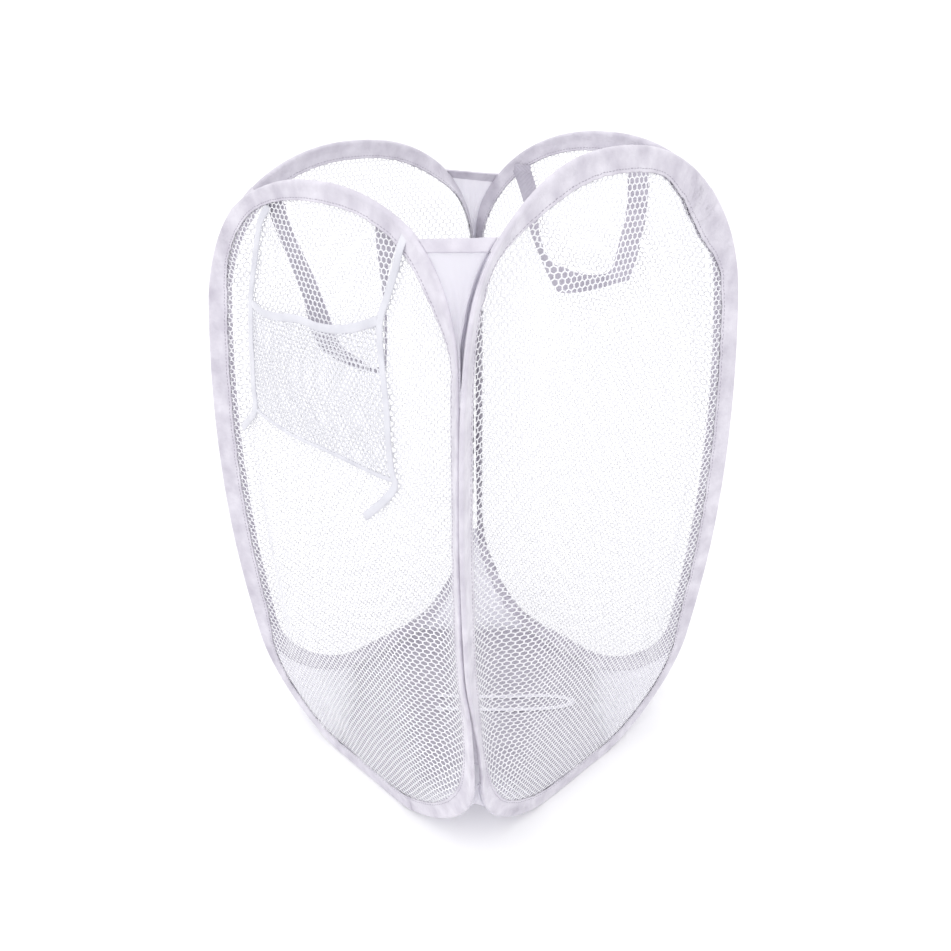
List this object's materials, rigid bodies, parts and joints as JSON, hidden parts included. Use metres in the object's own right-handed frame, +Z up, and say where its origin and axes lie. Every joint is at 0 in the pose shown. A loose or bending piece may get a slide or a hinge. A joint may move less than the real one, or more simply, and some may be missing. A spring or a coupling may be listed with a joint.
{
  "type": "pop up laundry hamper",
  "caption": "Tall square pop up hamper of netting on arched spring steel hoops, with carrying handles, a net pocket and a cloth base; it folds flat.",
  "frame": {"origin": "centre of the footprint, on the floor under the base cloth", "axes": "+Z up, -Y is the front panel that carries the pocket, +X is the right panel"},
  "size_m": [0.3658, 0.3734, 0.611],
  "materials": {
    "binding_cloth": "lilac grey woven polyester, puckered",
    "white_net": "white knitted polyester netting with six sided gaps",
    "gusset_cloth": "pale lilac non-woven cloth, soft and matt",
    "base_cloth": "lilac grey woven polyester, matt",
    "webbing": "lilac grey polypropylene webbing, ribbed",
    "pocket_net": "fine white knitted netting",
    "pocket_tape": "narrow woven binding tape",
    "elastic": "narrow flat elastic, ribbed",
    "spring_steel": "flat spring steel strip, blued grey"
  },
  "bodies": {
    "front_panel": {"front_binding": "binding_cloth", "front_net": "white_net", "front_hoop_wire": "spring_steel", "front_wire_ferrule": "spring_steel", "front_right_top_gusset": "gusset_cloth", "front_right_gusset_hem": "binding_cloth", "front_right_bottom_gusset": "gusset_cloth", "front_left_top_gusset": "gusset_cloth", "front_left_gusset_hem": "binding_cloth", "front_left_bottom_gusset": "gusset_cloth", "base_panel": "base_cloth", "closing_loop": "elastic", "front_handle_left_end": "webbing", "front_handle_right_end": "webbing", "pocket_net": "pocket_net", "pocket_mouth_binding": "pocket_tape", "pocket_left_binding": "pocket_tape", "pocket_right_binding": "pocket_tape", "pocket_bottom_binding": "pocket_tape"},
    "right_panel": {"right_binding": "binding_cloth", "right_net": "white_net", "right_hoop_wire": "spring_steel", "right_wire_ferrule": "spring_steel", "back_right_top_gusset": "gusset_cloth", "back_right_gusset_hem": "binding_cloth", "back_right_bottom_gusset": "gusset_cloth"},
    "left_panel": {"left_binding": "binding_cloth", "left_net": "white_net", "left_hoop_wire": "spring_steel", "left_wire_ferrule": "spring_steel", "back_left_top_gusset": "gusset_cloth", "back_left_gusset_hem": "binding_cloth", "back_left_bottom_gusset": "gusset_cloth"},
    "back_panel": {"back_binding": "binding_cloth", "back_net": "white_net", "back_hoop_wire": "spring_steel", "back_wire_ferrule": "spring_steel", "back_handle_left_end": "webbing", "back_handle_right_end": "webbing"},
    "front_handle": {"front_handle": "webbing"},
    "back_handle": {"back_handle": "webbing"}
  },
  "joints": [
    {"name": "fold", "type": "hinge", "parent": "front_panel", "child": "left_panel", "pos_m": [-0.18, -0.18, 0.3], "axis": [0, 0, 1], "range_deg": [0, 85], "stiffness_Nm_per_rad": 0.4, "springref_deg": -20.05, "deforming": ["base_panel", "closing_loop", "front_right_top_gusset", "front_right_gusset_hem", "front_right_bottom_gusset", "front_left_top_gusset", "front_left_gusset_hem", "front_left_bottom_gusset", "back_left_top_gusset", "back_left_gusset_hem", "back_left_bottom_gusset", "back_right_top_gusset", "back_right_gusset_hem", "back_right_bottom_gusset"]},
    {"name": "fold_back", "type": "hinge", "parent": "left_panel", "child": "back_panel", "pos_m": [-0.15325, 0.15325, 0.3], "axis": [0, 0, 1], "range_deg": [-85, 0]},
    {"name": "fold_right", "type": "hinge", "parent": "front_panel", "child": "right_panel", "pos_m": [0.15325, -0.15325, 0.3], "axis": [0, 0, 1], "range_deg": [0, 85]},
    {"name": "front_handle_swing", "type": "hinge", "parent": "front_panel", "child": "front_handle", "pos_m": [0.01, -0.16155, 0.5673], "axis": [1, 0, 0], "range_deg": [0, 180]},
    {"name": "back_handle_swing", "type": "hinge", "parent": "back_panel", "child": "back_handle", "pos_m": [-0.015, 0.16155, 0.5673], "axis": [-1, 0, 0], "range_deg": [0, 180]}
  ],
  "couplings": [
    {"joint": "fold_right", "follows": "fold", "ratio": 1},
    {"joint": "fold_back", "follows": "fold", "ratio": -1}
  ]
}
